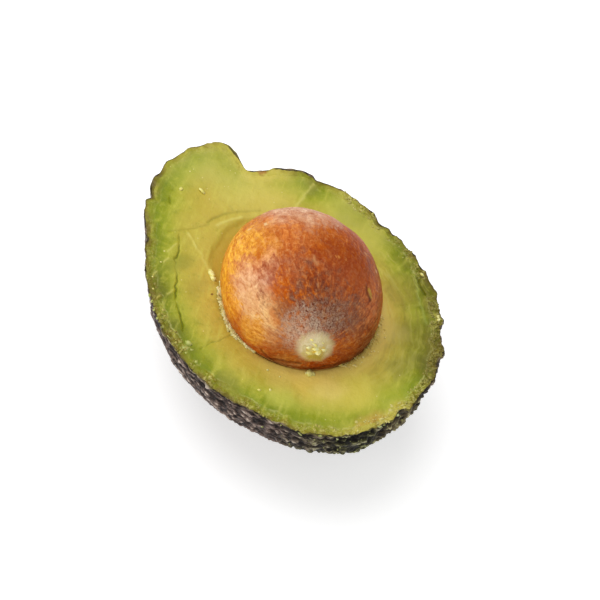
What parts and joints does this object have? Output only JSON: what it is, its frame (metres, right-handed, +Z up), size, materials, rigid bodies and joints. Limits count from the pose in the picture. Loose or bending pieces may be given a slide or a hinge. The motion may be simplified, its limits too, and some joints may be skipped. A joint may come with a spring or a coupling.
{
  "type": "avocado half with its seed",
  "caption": "Half of a ripe pebbly-skinned avocado, cut lengthwise, lying on its back with its seed standing proud of the level cut face.",
  "frame": {"origin": "middle of the small flat spot on the fruit's back, which the half rests on", "axes": "+X along the fruit towards its stem end, +Z up, square to the level cut face"},
  "size_m": [0.0936, 0.0684, 0.0545],
  "materials": {
    "peel": "thin tough peel, blackish green-brown, pebbled, with a low waxy gloss",
    "flesh": "moist soft flesh with a satin cut face, warm yellow round the seed and green under the peel",
    "seed": "orange-brown seed coat with fine darker veins, satin, and a pale round scar"
  },
  "bodies": {
    "root": {"peel": "peel", "flesh": "flesh", "seed": "seed"}
  },
  "joints": []
}
